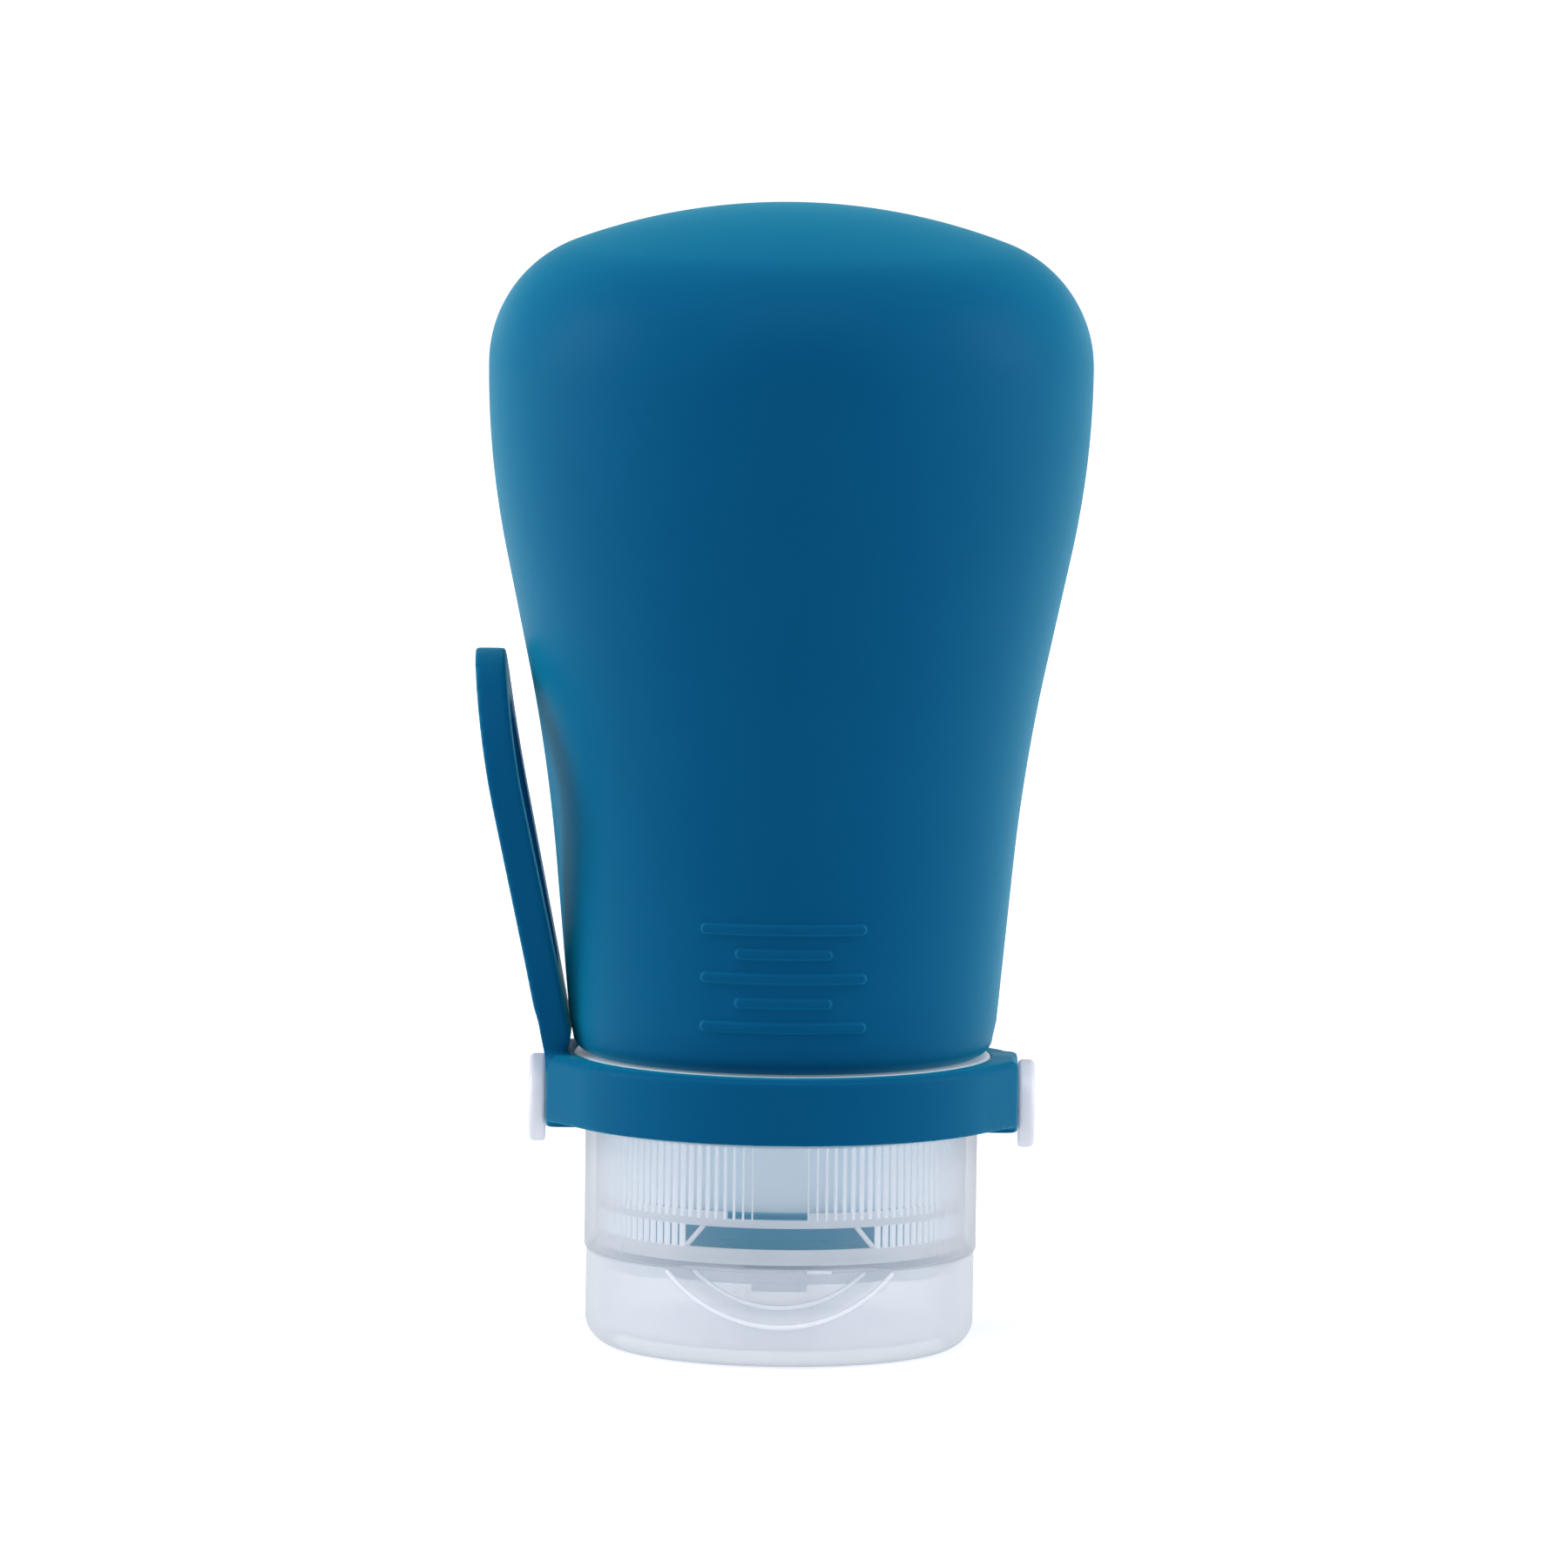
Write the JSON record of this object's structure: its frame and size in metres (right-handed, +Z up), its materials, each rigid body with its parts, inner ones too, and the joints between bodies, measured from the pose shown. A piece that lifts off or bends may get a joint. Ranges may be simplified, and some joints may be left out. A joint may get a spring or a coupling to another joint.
{
  "type": "travel squeeze bottle",
  "caption": "Soft silicone travel squeeze bottle standing on a translucent screw cap with flip lid, with a carry band pinned round its collar and a hanging loop at the side.",
  "frame": {"origin": "centre of the closed lid's flat rest face, on which the bottle stands upside down", "axes": "+Z up along the bottle's axis to its closed end, -Y to the front with the thumb scoop, -X to the side with the carry loop"},
  "size_m": [0.0477, 0.0466, 0.0884],
  "materials": {
    "teal_silicone": "matte moulded silicone rubber",
    "clear_polypropylene": "moulded translucent polypropylene",
    "white_polypropylene": "moulded white polypropylene"
  },
  "bodies": {
    "bottle": {"silicone_body": "teal_silicone", "neck_sleeve": "white_polypropylene", "carry_band": "teal_silicone", "stud_left": "white_polypropylene", "stud_right": "white_polypropylene"},
    "loop": {"carry_loop": "teal_silicone"},
    "seal": {"valve_seal": "teal_silicone"},
    "cap": {"cap_base": "clear_polypropylene"},
    "lid": {"flip_lid": "clear_polypropylene"}
  },
  "joints": [
    {"name": "cap_travel", "type": "slide", "parent": "bottle", "child": "seal", "axis": [0, 0, -1], "range_m": [0, 0.0045]},
    {"name": "cap_turn", "type": "hinge", "parent": "seal", "child": "cap", "pos_m": [0, 0, 0.012], "axis": [0, 0, -1], "range_deg": [0, 660]},
    {"name": "lid_hinge", "type": "hinge", "parent": "cap", "child": "lid", "pos_m": [0, 0.01645, 0.0075], "axis": [1, 0, 0], "range_deg": [0, 150]},
    {"name": "loop_flex", "type": "hinge", "parent": "bottle", "child": "loop", "pos_m": [-0.0178, 0, 0.02427], "axis": [0, -1, 0], "range_deg": [0, 60], "stiffness_Nm_per_rad": 0.01}
  ],
  "couplings": [
    {"joint": "cap_travel", "follows": "cap_turn", "m_per_rad": 0.00038197}
  ]
}
